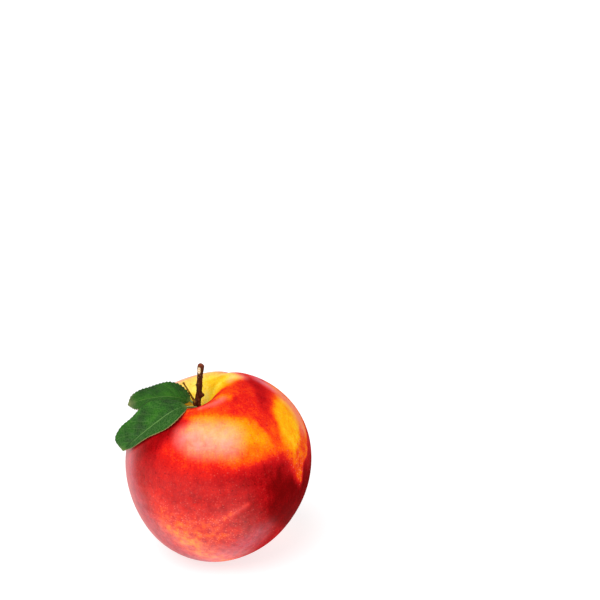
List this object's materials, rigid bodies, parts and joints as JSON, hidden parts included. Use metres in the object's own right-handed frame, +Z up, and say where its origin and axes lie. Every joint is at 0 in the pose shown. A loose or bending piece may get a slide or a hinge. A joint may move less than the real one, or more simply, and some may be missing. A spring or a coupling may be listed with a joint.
{
  "type": "nectarine",
  "caption": "Ripe red and yellow nectarine with its woody spur, a thin dry stalk and green leaves, resting on a small flat spot.",
  "frame": {"origin": "middle of the flat resting spot under the fruit, on the surface it rests on", "axes": "+Z up; the leaves reach towards -X, and -Y is the side seen in front, with the pale patch below the stem hollow"},
  "size_m": [0.0712, 0.068, 0.0745],
  "materials": {
    "skin": "satin",
    "bark": "matte",
    "dry_stalk": "matte",
    "leaf": "satin",
    "leaf_dark": "satin"
  },
  "bodies": {
    "root": {"fruit": "skin", "twig": "bark", "thin_stalk": "dry_stalk", "leaf_front": "leaf", "leaf_back": "leaf_dark"}
  },
  "joints": []
}
